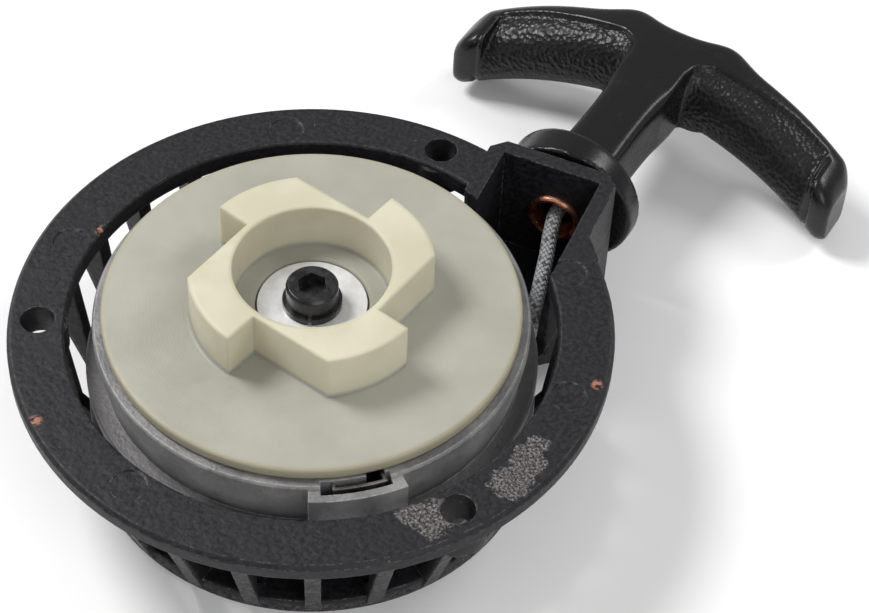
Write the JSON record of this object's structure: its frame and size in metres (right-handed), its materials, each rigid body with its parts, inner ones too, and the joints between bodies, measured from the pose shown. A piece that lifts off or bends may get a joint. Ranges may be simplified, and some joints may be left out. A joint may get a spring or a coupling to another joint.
{
  "type": "recoil starter",
  "caption": "Round pull starter for a small engine: vaned cast cage with bolt flange, sprung rope reel, moulded claw plate and a T handle on a rope.",
  "frame": {"origin": "centre of the bolt circle, on the mounting face of the flange", "axes": "+Z out of the mounting face, towards the engine; +Y is the direction in which the handle is pulled"},
  "size_m": [0.1387, 0.1763, 0.0484],
  "materials": {
    "black_casting": "satin black paint on a sand-rough alloy casting, worn at the edges",
    "copper": "dull copper",
    "black_oxide": "glossy black oxide",
    "zinc_steel": "bright zinc",
    "spring_steel": "rolled spring steel",
    "rope": "braided nylon, grey with dark flecks",
    "cast_alloy": "dull die-cast alloy",
    "nylon": "translucent ivory nylon",
    "handle_plastic": "satin black moulded plastic"
  },
  "bodies": {
    "housing_body": {"housing": "black_casting", "eyelet": "copper", "centre_screw": "black_oxide", "lock_washer": "black_oxide", "retaining_washer": "zinc_steel", "recoil_spring": "spring_steel", "rope_run": "rope"},
    "reel_body": {"reel": "cast_alloy", "claw_plate": "nylon", "rope_coil": "rope", "reel_knot": "rope", "spring_hook": "spring_steel"},
    "handle_body": {"handle": "handle_plastic", "handle_washer": "zinc_steel", "handle_knot": "rope", "handle_rope": "rope"}
  },
  "joints": [
    {"name": "reel_spin", "type": "hinge", "parent": "housing_body", "child": "reel_body", "pos_m": [0, 0, 0], "axis": [0, 0, 1], "range_deg": [0, 1080], "stiffness_Nm_per_rad": 0.03, "springref_deg": -343.77, "deforming": ["recoil_spring"]},
    {"name": "handle_pull", "type": "slide", "parent": "housing_body", "child": "handle_body", "axis": [0, 1, 0], "range_m": [0, 0.73], "deforming": ["rope_run"]}
  ],
  "couplings": [
    {"joint": "handle_pull", "follows": "reel_spin", "m_per_rad": 0.0385}
  ]
}
